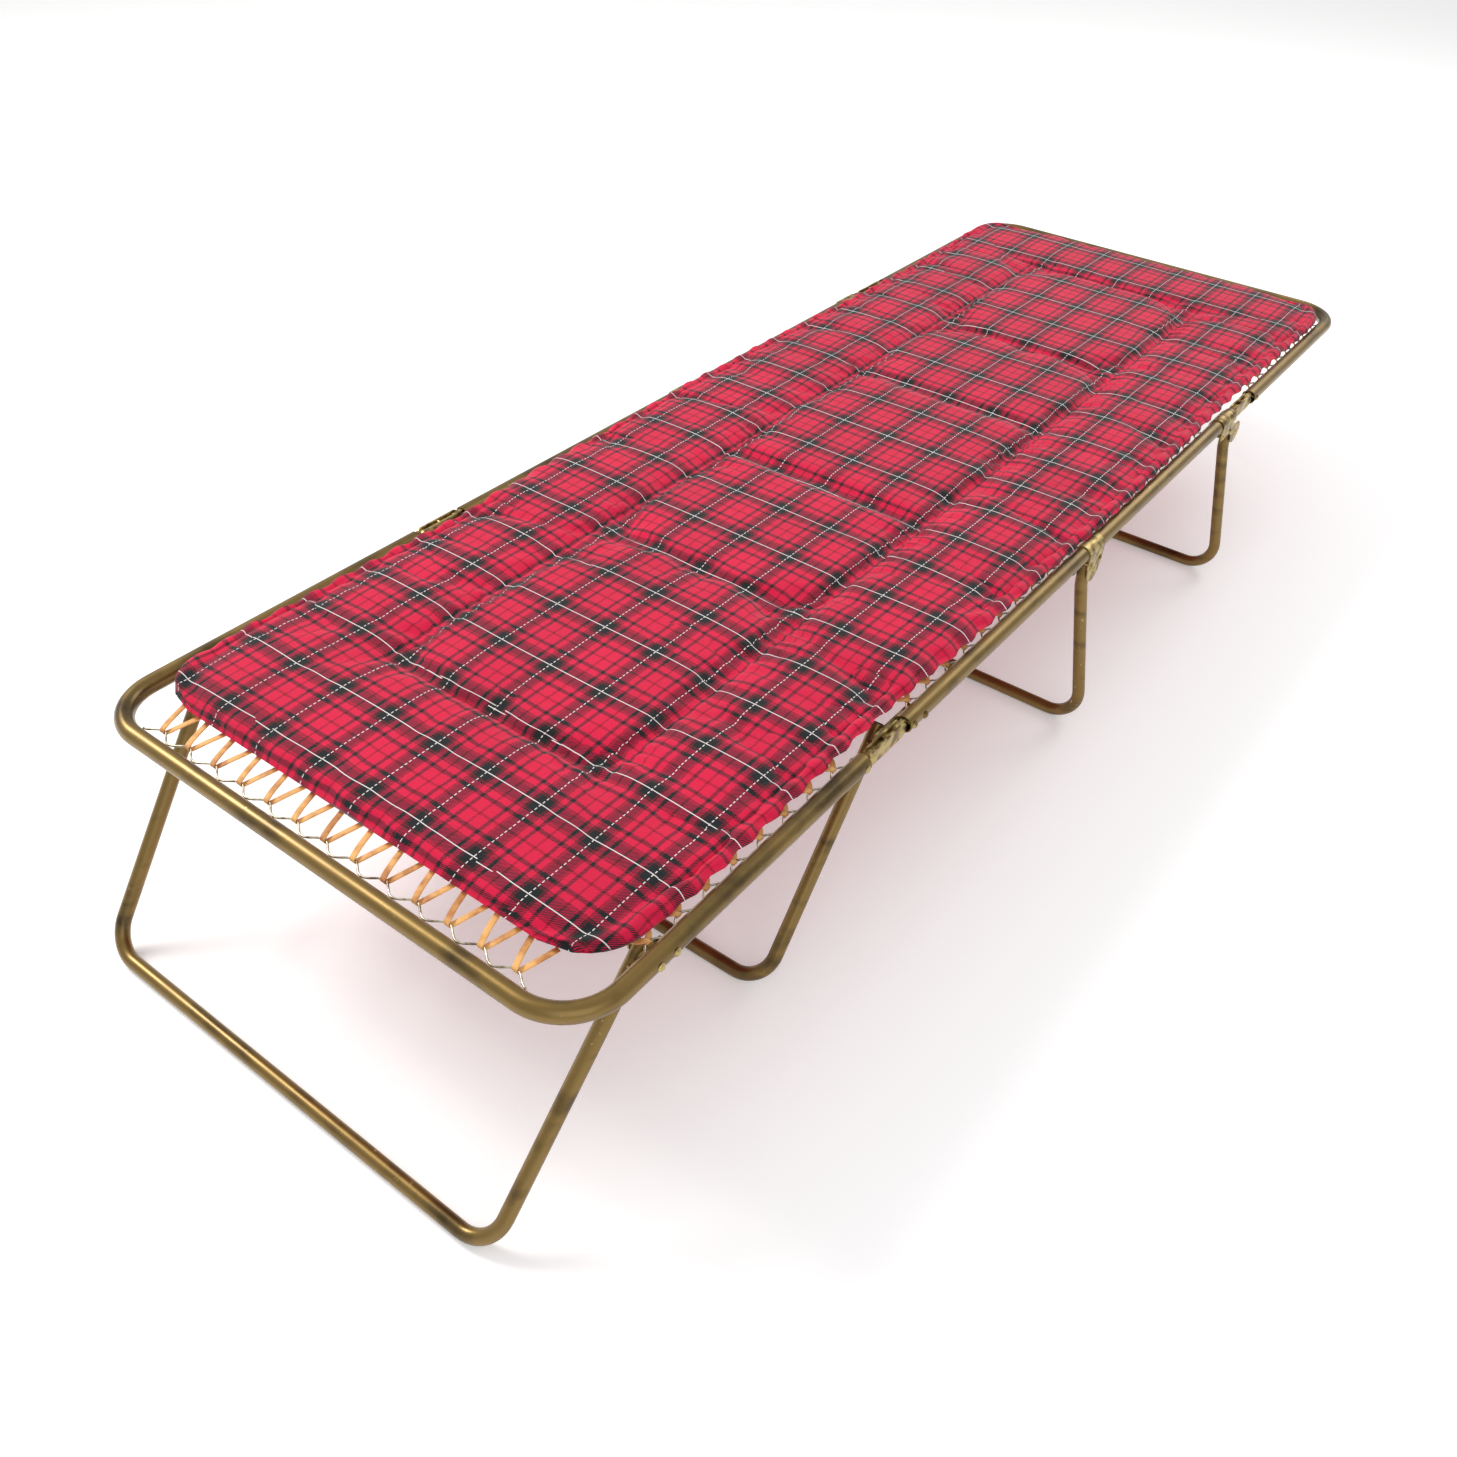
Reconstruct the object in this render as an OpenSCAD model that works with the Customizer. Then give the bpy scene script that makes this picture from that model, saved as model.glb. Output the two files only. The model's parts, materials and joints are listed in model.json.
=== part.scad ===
// Folding camp cot: three-part tube frame, four leg bows, laced quilted pad.
// +X runs from the foot end to the head end, +Z is up, floor at z = 0.

/* [Frame] */

// Distance between the centre lines of the two side rails
rail_span = 640; // [560:10:770]
// Length of the frame, end bar centre to end bar centre
frame_len = 1872; // [1660:4:2250]
// Height of the rail centres above the floor
deck_h = 262; // [218:1:315]
// Outside diameter of the rail tube
rail_d = 20; // [17:0.5:24]
// Wall of the rail tube
rail_wall = 1.4; // [1:0.1:2]
// Bend radius of the end bows, to the tube centre
corner_r = 60; // [52:1:72]
// How much further from the middle the head hinge sits than the foot hinge
head_shift = 28; // [0:1:40]

/* [Legs] */

// Outside diameter of the leg tube
leg_d = 16; // [14:0.5:18]
// Wall of the leg tube
leg_wall = 1.2; // [0.8:0.1:1.6]
// Bend radius at the feet, to the tube centre
leg_bend_r = 38; // [32:1:46]
// Distance from the foot bar to the pivot of leg one
leg_1_inset = 108; // [90:1:130]
// How far the foot of leg one stands out past its pivot
leg_1_splay = 192; // [150:1:230]
// How far the foot of leg two stands out past its pivot
leg_2_splay = 175; // [140:1:210]
// Inward taper of leg one, pivot to foot, on each side
leg_1_taper = 16; // [0:1:24]
// Inward taper of leg two, pivot to foot, on each side
leg_2_taper = 3; // [0:1:12]
// Outward set of the feet of legs three and four, on each side
leg_flare = 40; // [0:1:48]

/* [Pad] */

// Thickness of the pad where it is pressed flat
pad_t = 17.5; // [14:0.5:22]
// Gap between the side rail centre and the pad edge
pad_side_gap = 18; // [15:1:26]
// Gap between the end bar centre and the pad edge
pad_end_gap = 50; // [40:1:60]
// Gap between the side rail centre and the laced hem under the pad
hem_gap = 34; // [30:1:40]
// Corner radius of the pad
pad_corner_r = 55; // [40:1:66]

/* [Lacing] */

// Diameter of the wavy edge wire
wire_d = 2.2; // [1.8:0.1:2.8]
// Depth of one wave of the edge wire
wave_depth = 10; // [8:0.5:12]
// Length of one wave, and pitch of the lacing
wave_pitch = 40; // [34:1:48]
// Width of the rubber lacing strap
strap_w = 5; // [4:0.5:6]
// Thickness of the rubber lacing strap
strap_t = 1.2; // [0.8:0.1:1.6]

/* [Hardware] */

// Pivot pin diameter
pin_d = 6; // [5:0.5:7]
// Radial running clearance round a pivot pin
pin_clear = 0.05; // [0.03:0.01:0.09]
// Rivet shank diameter
rivet_d = 4.5; // [3.5:0.5:5]
// Sheet thickness of the leg plates
plate_t = 2.4; // [2:0.1:3]
// Sheet thickness of the clamp brackets
clamp_t = 1.5; // [1.2:0.1:2]
// Sheet thickness of the hinge plates
hinge_t = 2.5; // [2:0.1:3]
// Thickness of the flat tongues in the rail ends
tongue_t = 5; // [4:0.5:6]

/* [Hidden] */

eps = 0.01;
gap = 0.1;                       // between pieces that only touch
rail_r = rail_d / 2;
leg_r = leg_d / 2;
half_len = frame_len / 2;
half_span = rail_span / 2;

// pad and hinge: the pins of one link are as far apart as two pads are thick
pad_base = 4 + wire_d / 2 + strap_t + 0.4;   // underside of the pad above the rail centre
pad_meet = 2.3;                    // half the gap between two folded pads
hinge_pitch = 2 * (pad_base + pad_t + pad_meet);
bar_meet = 2;                    // half the gap between the two folded end bars
foot_pin_in = (half_len - hinge_pitch + rail_r + bar_meet) / 2;
foot_pin_out = foot_pin_in + hinge_pitch;
head_pin_in = foot_pin_in + head_shift;
head_pin_out = head_pin_in + hinge_pitch;
plate_r = rail_r - 1;            // half height of a hinge plate
tube_back = plate_r + 2;         // from a pin back to the end of its tube

// the whole object is centred on its own box
foot_reach = max(half_len + rail_r, half_len - leg_1_inset + leg_1_splay + leg_r);
head_reach = half_len + rail_r;
origin_x = (foot_reach - head_reach) / 2;

// leg pivots
inner_pivot_z = deck_h - leg_r - 1;             // legs one and two, inside the rails
inner_pivot_y = half_span - rail_r - 0.4 - plate_t - 1.2 - leg_r;
outer_pivot_z = inner_pivot_z - leg_r * 2 - 2;  // legs three and four, under the rails
leg_1_x = -(half_len - leg_1_inset);
leg_2_x = -(foot_pin_in + 5);
leg_3_x = 0;
leg_4_x = head_pin_in;
leg_top = leg_r - 0.5;                          // tube end past an inner pivot
outer_top = leg_r - 3;                          // tube end past an outer pivot
leg_1_angle = atan(leg_1_splay / (inner_pivot_z - leg_r));
leg_2_angle = atan(leg_2_splay / (inner_pivot_z - leg_r));
leg_1_len = (inner_pivot_z - leg_r) / cos(leg_1_angle);
leg_2_len = (inner_pivot_z - leg_r) / cos(leg_2_angle);
outer_leg_len = outer_pivot_z - leg_r;
leg_shank = 24;                                 // upright part below an outer pivot
knee_r = 60;                                    // bend between it and the leaning side
bend_lap = 0.3;                                 // degrees that a bend runs on at each end

// clamp bracket
clamp_r = rail_r + 0.05 + clamp_t;
clamp_half = 20;
clamp_in = rail_r - 0.05;                       // inner face of a cheek from the rail
clamp_out = clamp_in + clamp_t - 0.1;
clamp_drop = deck_h - outer_pivot_z;
clamp_rivet_z = rail_r + 0.05 + clamp_t + 3;
lobe_r = 16;
stop_x = leg_r + 2.2;            // stop stud beside an upright leg
stop_z = -6;

clamp_4_dx = tube_back + clamp_half + 12;   // clear of the tongue rivet

// leg plate
plate_y = half_span - rail_r - 0.4;             // outer face
plate_top = 2.5;
plate_drop = 22;

// edge wire and lacing
wire_r = wire_d / 2;
wire_z = deck_h + 4;
wire_off = sqrt(pow(rail_r + wire_r + 0.05, 2) - pow(wire_z - deck_h, 2));
wire_rings = 8;
wire_sides = 6;
strap_z = wire_z + wire_r + 0.05;

steel = [0.62, 0.50, 0.26];
bright = [0.70, 0.68, 0.60];
cloth = [0.78, 0.16, 0.28];
rubber = [0.86, 0.58, 0.30];
nylon = [0.15, 0.15, 0.15];

// ---------- helpers ----------

module placed() {
  translate([origin_x, 0, 0])
    children();
}

// both sides of the frame, the second one mirrored
module both_sides() {
  children();
  mirror([0, 1, 0])
    children();
}

module y_rod(d, y0, y1) {
  translate([0, y0, 0])
    rotate([-90, 0, 0])
      cylinder(d = d, h = y1 - y0, $fn = 48);
}

module x_rod(d, x0, x1) {
  translate([x0, 0, 0])
    rotate([0, 90, 0])
      cylinder(d = d, h = x1 - x0, $fn = 64);
}

// low dome that closes a rivet or pin, base at y = 0, crown towards +Y
module dome(d, h) {
  r = (d * d / 4 + h * h) / (2 * h);
  rotate([-90, 0, 0])
    rotate_extrude($fn = 48)
      intersection() {
        translate([0, h - r])
          circle(r = r, $fn = 96);
        square([d, h]);
      }
}

// end bow: bar along Y at x = 0, bends, then two straight arms towards +X
module bow_path(d, arm, extra) {
  bar = half_span - corner_r;
  y_rod(d, -bar, bar);
  both_sides() {
    translate([corner_r, bar, 0])
      rotate([0, 0, 90])
        rotate_extrude(angle = 90, $fn = 96)
          translate([corner_r, 0])
            circle(d = d, $fn = 48);
    translate([0, half_span, 0])
      x_rod(d, corner_r, arm + extra);
  }
}

module end_bow(arm) {
  difference() {
    bow_path(rail_d, arm, 0);
    bow_path(rail_d - 2 * rail_wall, arm, 1);
    both_sides()
      translate([arm - 7, half_span, 0])
        y_rod(rivet_d + 0.1, -rail_d, rail_d);
  }
}

// piece of a bent tube in the YZ plane, from angle a0 on; both ends run on a little
// way inside the straight tubes, so it is drawn slightly thinner than they are
module bend(d, r, a0, turn) {
  rotate([90, 0, 90])
    rotate([0, 0, a0 - bend_lap])
      rotate_extrude(angle = turn + 2 * bend_lap, $fn = 96)
        translate([r, 0])
          circle(d = d - 0.1, $fn = 48);
}

// leg bow standing in the YZ plane: foot bar centre at z = 0, pivots at z = len.
// top_y is half the width at the pivot, foot_y at the foot, shank the length of
// the upright part below the pivot
function lean_of(top_y, foot_y, run) = atan((top_y - foot_y) / run);
function bar_half(lean, foot_y) =
  foot_y + leg_bend_r * tan(lean) - leg_bend_r / cos(lean);

module leg_side(d, top_y, foot_y, len, shank, cut) {
  run = len - shank;
  lean = lean_of(top_y, foot_y, run);
  knee = shank > 0 ? knee_r * tan(abs(lean) / 2) : 0;
  side = (run - leg_bend_r + leg_bend_r * sin(lean)) / cos(lean) - knee;
  top = shank > 0 ? 0 : leg_top + cut;
  translate([0, bar_half(lean, foot_y), leg_bend_r]) {
    bend(d, leg_bend_r, -90, 90 - lean);
    rotate([-lean, 0, 0])
      translate([0, leg_bend_r, 0])
        cylinder(d = d, h = side + top, $fn = 48);
  }
  if (shank > 0)
    translate([0, top_y, run + knee]) {
      translate([0, knee_r, 0])
        bend(d, knee_r, 180, -lean);
      cylinder(d = d, h = shank - knee + outer_top + cut, $fn = 48);
    }
}

module leg_tube(d, top_y, foot_y, len, shank, cut) {
  b = bar_half(lean_of(top_y, foot_y, len - shank), foot_y);
  y_rod(d, -b, b);
  both_sides()
    leg_side(d, top_y, foot_y, len, shank, cut);
}

module leg_bow(top_y, foot_y, len, shank) {
  difference() {
    leg_tube(leg_d, top_y, foot_y, len, shank, 0);
    leg_tube(leg_d - 2 * leg_wall, top_y, foot_y, len, shank, 1);
    translate([0, 0, len])
      both_sides()
        y_rod(pin_d + 2 * pin_clear, top_y - leg_d, top_y + leg_d);
  }
}

// flat tongue in a rail end; pin at the origin, tube towards +X, heel towards -X
module tongue() {
  in_tube = 20;
  half_h = rail_r - rail_wall - 1.1;
  heel = hinge_pitch / 2 - 1;
  difference() {
    union() {
      translate([0, -tongue_t / 2, -half_h])
        cube([tube_back + in_tube, tongue_t, 2 * half_h]);
      y_rod(2 * half_h, -tongue_t / 2, tongue_t / 2);
      translate([-heel, -tongue_t / 2, -4])
        cube([heel, tongue_t, 8]);
    }
    y_rod(pin_d + 2 * pin_clear, -tongue_t, tongue_t);
    translate([tube_back + 7, 0, 0])
      y_rod(rivet_d, -tongue_t, tongue_t);
  }
}

module cross_rivet(half_w) {
  y_rod(rivet_d, -half_w, half_w);
  translate([0, half_w, 0])
    dome(8, 2);
  translate([0, -half_w, 0])
    mirror([0, 1, 0])
      dome(8, 2);
}

// one hinge link: two plates; pins at x = 0 and x = hinge_pitch
module hinge_pair() {
  for (s = [-1, 1])
    difference() {
      union() {
        translate([0, s > 0 ? tongue_t / 2 + 0.2 : -tongue_t / 2 - 0.2 - hinge_t, -plate_r])
          cube([hinge_pitch, hinge_t, 2 * plate_r]);
        for (x = [0, hinge_pitch])
          translate([x, s > 0 ? tongue_t / 2 + 0.2 : -tongue_t / 2 - 0.2 - hinge_t, 0])
            y_rod(2 * plate_r, 0, hinge_t);
      }
      for (x = [0, hinge_pitch])
        translate([x, 0, 0])
          y_rod(pin_d, -rail_r, rail_r);
      translate([hinge_pitch / 2, 0, 6.2])
        y_rod(4, -rail_r, rail_r);
    }
}

module hinge_pin_set() {
  w = tongue_t / 2 + 0.2 + hinge_t;
  for (x = [0, hinge_pitch])
    translate([x, 0, 0]) {
      y_rod(pin_d, -w, w);
      translate([0, w, 0])
        dome(10, 2);
      translate([0, -w, 0])
        mirror([0, 1, 0])
          dome(10, 2);
    }
  translate([hinge_pitch / 2, 0, 6.2])
    y_rod(4, -w, w);
}

// clamp bracket round a rail; pivot at x = dx, rail centre at z = 0
module clamp(dx) {
  difference() {
    union() {
      x_rod(2 * clamp_r, -clamp_half, clamp_half);
      for (s = [-1, 1])
        translate([0, s > 0 ? clamp_in : -clamp_out, 0]) {
          rotate([90, 0, 0])
            translate([0, 0, clamp_in - clamp_out])
              linear_extrude(height = clamp_out - clamp_in)
                polygon([[-clamp_half, -2], [clamp_half, -2],
                  [max(clamp_half, dx + lobe_r), -clamp_drop],
                  [dx - lobe_r, -clamp_drop],
                  [min(dx - 18, clamp_half - 5), -clamp_rivet_z - 4],
                  [-clamp_half, -clamp_rivet_z - 4]]);
          translate([dx, 0, -clamp_drop])
            y_rod(2 * lobe_r, 0, clamp_out - clamp_in);
        }
    }
    x_rod(rail_d + 0.1, -clamp_half - 1, clamp_half + 1);
    for (x = [-13, 13])
      translate([x + min(dx, 0), 0, -clamp_rivet_z])
        y_rod(rivet_d, -rail_d, rail_d);
    translate([dx, 0, -clamp_drop])
      y_rod(pin_d, -rail_d, rail_d);
    translate([dx + stop_x, 0, -clamp_drop + stop_z])
      y_rod(4, -rail_d, rail_d);
  }
}

module clamp_rivet_pair() {
  for (x = [-13, 13])
    translate([x, 0, -clamp_rivet_z])
      cross_rivet(clamp_out);
}

module clamp_pin() {
  y_rod(pin_d, -clamp_out, clamp_out);
  for (s = [0, 1])
    mirror([0, s, 0])
      translate([0, clamp_out, 0])
        dome(10, 2.4);
}

module clamp_washer_pair() {
  t = clamp_in - leg_r - 2 * gap;
  for (s = [0, 1])
    mirror([0, s, 0])
      translate([0, leg_r + gap, 0])
        difference() {
          y_rod(14, 0, t);
          y_rod(pin_d + 0.2, -1, t + 1);
        }
}

// leg plate inside a rail: pivot at the origin, rail centre at z = drop
module leg_plate(rivets, stop) {
  top = deck_h - inner_pivot_z + plate_top;
  x0 = min(stop[0] - 6, rivets[0] - 6);
  x1 = max(rivets[1] + 6, 9);
  difference() {
    rotate([90, 0, 0])
      linear_extrude(height = plate_t)
        polygon([[x0 + 4, top], [x1 - 3, top], [x1, top - 3], [x1, top - 12],
          [8, top - plate_drop], [-8, top - plate_drop],
          [x0 + 4, stop[1] - 6], [x0, stop[1] - 2], [x0, top - 4]]);
    translate([0, 0, 0])
      y_rod(pin_d, -plate_t - 1, 1);
    for (x = rivets)
      translate([x, 0, deck_h - inner_pivot_z])
        y_rod(rivet_d, -plate_t - 1, 1);
    translate([stop[0], 0, stop[1]])
      y_rod(4, -plate_t - 1, 1);
  }
}

// stop stud against the side of a leaning leg, 14 mm below its pivot
function stop_at(a) = [-14 * sin(a) - (leg_r + 2.2) * cos(a),
                       -14 * cos(a) + (leg_r + 2.2) * sin(a)];
leg_1_rivets = [-9, 12];
leg_2_rivets = [tube_back + 12, tube_back + 33];   // the first one holds the tongue too

module plate_pin_set(stop) {
  translate([0, -plate_t, 0])
    y_rod(pin_d, -leg_d - 1.6, plate_t);
  translate([0, -plate_t - leg_d - 1.6 - 1.5, 0])
    y_rod(9, 0, 1.5);
  translate([stop[0], -plate_t, stop[1]])
    y_rod(4, -8, plate_t);
}

module rail_rivet() {
  y_rod(rivet_d, -plate_t, rail_d + 0.4);
  translate([0, rail_d + 0.4, 0])
    dome(9, 2.6);
}

// ---------- wavy wire and lacing ----------

// offset of the wire from the rail at distance s along it
function wave(s) = wave_depth * (1 - cos(360 * s / wave_pitch)) / 2;

// wire along +X from x = 0, rail centre line at y = 0, waves towards +Y
module wavy_wire(waves) {
  n = waves * wire_rings;
  function at(i) = [i * wave_pitch / wire_rings,
                    wire_off + wave(i * wave_pitch / wire_rings)];
  function turn(i) = let (a = at(max(i - 1, 0)), b = at(min(i + 1, n)))
    atan2(b[1] - a[1], b[0] - a[0]);
  pts = [for (i = [0:n]) for (k = [0:wire_sides - 1])
    let (p = at(i), t = turn(i), a = 360 * k / wire_sides,
         u = wire_r * cos(a), v = wire_r * sin(a))
    [p[0] - u * sin(t), p[1] + u * cos(t), v]];
  sides = [for (i = [0:n - 1]) for (k = [0:wire_sides - 1])
    let (a = i * wire_sides + k, b = i * wire_sides + (k + 1) % wire_sides)
    [a, b, b + wire_sides, a + wire_sides]];
  first = [for (k = [0:wire_sides - 1]) wire_sides - 1 - k];
  last = [for (k = [0:wire_sides - 1]) n * wire_sides + k];
  polyhedron(points = pts, faces = concat(sides, [first, last]));
}

// one V of strap: apex over a wave crest, arms out to the pad edge at y = reach
module strap_v(reach) {
  apex = wire_off + wave_depth - strap_w / 2;
  spread = wave_pitch * 0.34;
  linear_extrude(height = strap_t)
    polygon([[-strap_w / 2, apex], [strap_w / 2, apex],
      [spread + strap_w / 2, reach], [spread - strap_w / 2, reach],
      [0, apex + strap_w], [-spread + strap_w / 2, reach],
      [-spread - strap_w / 2, reach]]);
}

module strap_row(waves, reach) {
  for (i = [0:waves - 1])
    translate([(i + 0.5) * wave_pitch, 0, 0])
      strap_v(reach);
}

// runs of wire: start x on the near side, number of waves
bow_straight = half_len - corner_r;
wire_start = tube_back + 14;     // past the tongue rivet
foot_side_waves = floor((bow_straight - foot_pin_out - wire_start) / wave_pitch);
head_side_waves = floor((bow_straight - head_pin_out - wire_start) / wave_pitch);
end_waves = floor((rail_span - 2 * corner_r) / wave_pitch);
mid_gap = clamp_half + 5;
mid_foot_waves = floor((foot_pin_in - tube_back - mid_gap) / wave_pitch);
mid_head_waves = floor((head_pin_in - clamp_4_dx - clamp_half - 5 - mid_gap) / wave_pitch);
side_reach = hem_gap;
end_reach = pad_end_gap + 4;
foot_side_x = -foot_pin_out - wire_start - foot_side_waves * wave_pitch;
head_side_x = head_pin_out + wire_start;

module on_rail(x, z) {
  translate([x, -half_span, z])
    children();
}

module on_foot_bar(waves, z) {
  translate([-half_len, waves * wave_pitch / 2, z])
    rotate([0, 0, -90])
      children();
}

module on_head_bar(waves, z) {
  translate([half_len, -waves * wave_pitch / 2, z])
    rotate([0, 0, 90])
      children();
}

// ---------- pads ----------

module pad_slab(x0, x1, round_foot, round_head) {
  hw = half_span - pad_side_gap;
  r = pad_corner_r;
  translate([0, 0, deck_h + pad_base])
    linear_extrude(height = pad_t)
      union() {
        translate([x0 + (round_foot ? r : 0), -hw])
          square([x1 - x0 - (round_foot ? r : 0) - (round_head ? r : 0), 2 * hw]);
        if (round_foot || round_head)
          translate([x0, -hw + r])
            square([x1 - x0, 2 * (hw - r)]);
        for (s = [-1, 1]) {
          if (round_foot)
            translate([x0 + r, s * (hw - r)])
              circle(r = r, $fn = 96);
          if (round_head)
            translate([x1 - r, s * (hw - r)])
              circle(r = r, $fn = 96);
        }
      }
}

pad_cut = 6;                     // pad edge past the pin it turns round
fold_gap = 0.3;

// ---------- pieces of the middle frame ----------

module mid_rail() {
  x0 = -foot_pin_in + tube_back;
  x1 = head_pin_in - tube_back;
  difference() {
    x_rod(rail_d, x0, x1);
    x_rod(rail_d - 2 * rail_wall, x0 - 1, x1 + 1);
    translate([x1 - 7, 0, 0])
      y_rod(rivet_d + 0.1, -rail_d, rail_d);
    for (x = leg_2_rivets)
      translate([leg_2_x + x, 0, 0])
        y_rod(rivet_d + 0.1, -rail_d, rail_d);
  }
}

module side_rail_near() {
  color(steel)
    translate([0, -half_span, deck_h])
      mid_rail();
}

module side_rail_far() {
  color(steel)
    translate([0, half_span, deck_h])
      mid_rail();
}

module rail_tongues_mid() {
  color(bright)
    both_sides()
      translate([0, half_span, deck_h]) {
        translate([-foot_pin_in, 0, 0])
          tongue();
        translate([head_pin_in, 0, 0])
          mirror([1, 0, 0])
            tongue();
      }
}

module tongue_rivets_mid() {
  color(bright)
    both_sides()
      translate([head_pin_in - tube_back - 7, half_span, deck_h])
        cross_rivet(rail_r);
}

module leg_clamps_centre() {
  color(bright)
    both_sides()
      translate([leg_3_x, half_span, deck_h])
        clamp(0);
}

module leg_clamps_head() {
  color(bright)
    both_sides()
      translate([leg_4_x - clamp_4_dx, half_span, deck_h])
        clamp(clamp_4_dx);
}

module clamp_rivets() {
  color(bright)
    both_sides()
      for (x = [leg_3_x, leg_4_x - clamp_4_dx])
        translate([x, half_span, deck_h])
          clamp_rivet_pair();
}

module clamp_pins() {
  color(bright)
    both_sides()
      for (x = [leg_3_x, leg_4_x])
        translate([x, half_span, outer_pivot_z])
          clamp_pin();
}

module clamp_stops() {
  color(bright)
    both_sides()
      for (x = [leg_3_x, leg_4_x])
        translate([x + stop_x, half_span, outer_pivot_z + stop_z])
          y_rod(4, -clamp_out, clamp_out);
}

module clamp_washers() {
  color(nylon)
    both_sides()
      for (x = [leg_3_x, leg_4_x])
        translate([x, half_span, outer_pivot_z])
          clamp_washer_pair();
}

module leg_plates_mid() {
  color(bright)
    both_sides()
      translate([leg_2_x, plate_y, inner_pivot_z])
        leg_plate(leg_2_rivets, stop_at(leg_2_angle));
}

module plate_rivets_mid() {
  color(bright)
    both_sides()
      for (x = leg_2_rivets)
        translate([leg_2_x + x, plate_y, deck_h])
          rail_rivet();
}

module plate_pins_mid() {
  color(bright)
    both_sides()
      translate([leg_2_x, plate_y, inner_pivot_z])
        plate_pin_set(stop_at(leg_2_angle));
}

module edge_wires_mid() {
  color(bright)
    both_sides() {
      on_rail(-mid_gap - mid_foot_waves * wave_pitch, wire_z)
        wavy_wire(mid_foot_waves);
      on_rail(mid_gap, wire_z)
        wavy_wire(mid_head_waves);
    }
}

module lacing_mid() {
  color(rubber)
    both_sides() {
      on_rail(-mid_gap - mid_foot_waves * wave_pitch, strap_z)
        strap_row(mid_foot_waves, side_reach);
      on_rail(mid_gap, strap_z)
        strap_row(mid_head_waves, side_reach);
    }
}

module pad_mid() {
  color(cloth)
    pad_slab(-foot_pin_in + pad_cut, head_pin_in - pad_cut, false, false);
}

// ---------- pieces of the foot frame ----------

module foot_bow() {
  color(steel)
    difference() {
      translate([-half_len, 0, deck_h])
        end_bow(half_len - foot_pin_out - tube_back);
      both_sides()
        for (x = leg_1_rivets)
          translate([leg_1_x + x, half_span, deck_h])
            y_rod(rivet_d + 0.1, -rail_d, rail_d);
    }
}

module tongues_foot() {
  color(bright)
    both_sides()
      translate([-foot_pin_out, half_span, deck_h])
        mirror([1, 0, 0])
          tongue();
}

module tongue_rivets_foot() {
  color(bright)
    both_sides()
      translate([-foot_pin_out - tube_back - 7, half_span, deck_h])
        cross_rivet(rail_r);
}

module leg_plates_foot() {
  color(bright)
    both_sides()
      translate([leg_1_x, plate_y, inner_pivot_z])
        leg_plate(leg_1_rivets, stop_at(leg_1_angle));
}

module plate_rivets_foot() {
  color(bright)
    both_sides()
      for (x = leg_1_rivets)
        translate([leg_1_x + x, plate_y, deck_h])
          rail_rivet();
}

module plate_pins_foot() {
  color(bright)
    both_sides()
      translate([leg_1_x, plate_y, inner_pivot_z])
        plate_pin_set(stop_at(leg_1_angle));
}

module edge_wires_foot() {
  color(bright) {
    both_sides()
      on_rail(foot_side_x, wire_z)
        wavy_wire(foot_side_waves);
    mirror([1, 0, 0])
      on_head_bar(end_waves, wire_z)
        wavy_wire(end_waves);
  }
}

module lacing_foot() {
  color(rubber) {
    both_sides()
      on_rail(foot_side_x, strap_z)
        strap_row(foot_side_waves, side_reach);
    mirror([1, 0, 0])
      on_head_bar(end_waves, strap_z)
        strap_row(end_waves, end_reach);
  }
}

module pad_foot() {
  color(cloth)
    pad_slab(-half_len + pad_end_gap, -foot_pin_out - pad_cut, true, false);
}

// ---------- pieces of the head frame ----------

module head_bow() {
  color(steel)
    translate([half_len, 0, deck_h])
      mirror([1, 0, 0])
        end_bow(half_len - head_pin_out - tube_back);
}

module tongues_head() {
  color(bright)
    both_sides()
      translate([head_pin_out, half_span, deck_h])
        tongue();
}

module tongue_rivets_head() {
  color(bright)
    both_sides()
      translate([head_pin_out + tube_back + 7, half_span, deck_h])
        cross_rivet(rail_r);
}

module edge_wires_head() {
  color(bright) {
    both_sides()
      on_rail(head_side_x, wire_z)
        wavy_wire(head_side_waves);
    on_head_bar(end_waves, wire_z)
      wavy_wire(end_waves);
  }
}

module lacing_head() {
  color(rubber) {
    both_sides()
      on_rail(head_side_x, strap_z)
        strap_row(head_side_waves, side_reach);
    on_head_bar(end_waves, strap_z)
      strap_row(end_waves, end_reach);
  }
}

module pad_head() {
  color(cloth)
    pad_slab(head_pin_out + pad_cut, half_len - pad_end_gap, false, true);
}

// ---------- hinge links ----------

module hinge_plates_foot() {
  color(bright)
    both_sides()
      translate([-foot_pin_out, half_span, deck_h])
        hinge_pair();
}

module hinge_pins_foot() {
  color(bright)
    both_sides()
      translate([-foot_pin_out, half_span, deck_h])
        hinge_pin_set();
}

module pad_fold_foot() {
  color(cloth)
    pad_slab(-foot_pin_out - pad_cut + fold_gap, -foot_pin_in + pad_cut - fold_gap,
      false, false);
}

module hinge_plates_head() {
  color(bright)
    both_sides()
      translate([head_pin_in, half_span, deck_h])
        hinge_pair();
}

module hinge_pins_head() {
  color(bright)
    both_sides()
      translate([head_pin_in, half_span, deck_h])
        hinge_pin_set();
}

module pad_fold_head() {
  color(cloth)
    pad_slab(head_pin_in - pad_cut + fold_gap, head_pin_out + pad_cut - fold_gap,
      false, false);
}

// ---------- legs ----------

module leaning_leg(x, a, len, taper) {
  color(steel)
    translate([x, 0, inner_pivot_z])
      rotate([0, a, 0])
        translate([0, 0, -len])
          leg_bow(inner_pivot_y, inner_pivot_y - taper, len, 0);
}

module upright_leg(x) {
  color(steel)
    translate([x, 0, outer_pivot_z - outer_leg_len])
      leg_bow(half_span, half_span + leg_flare, outer_leg_len, leg_shank);
}

module leg_bow_1() {
  leaning_leg(leg_1_x, leg_1_angle, leg_1_len, leg_1_taper);
}

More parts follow.
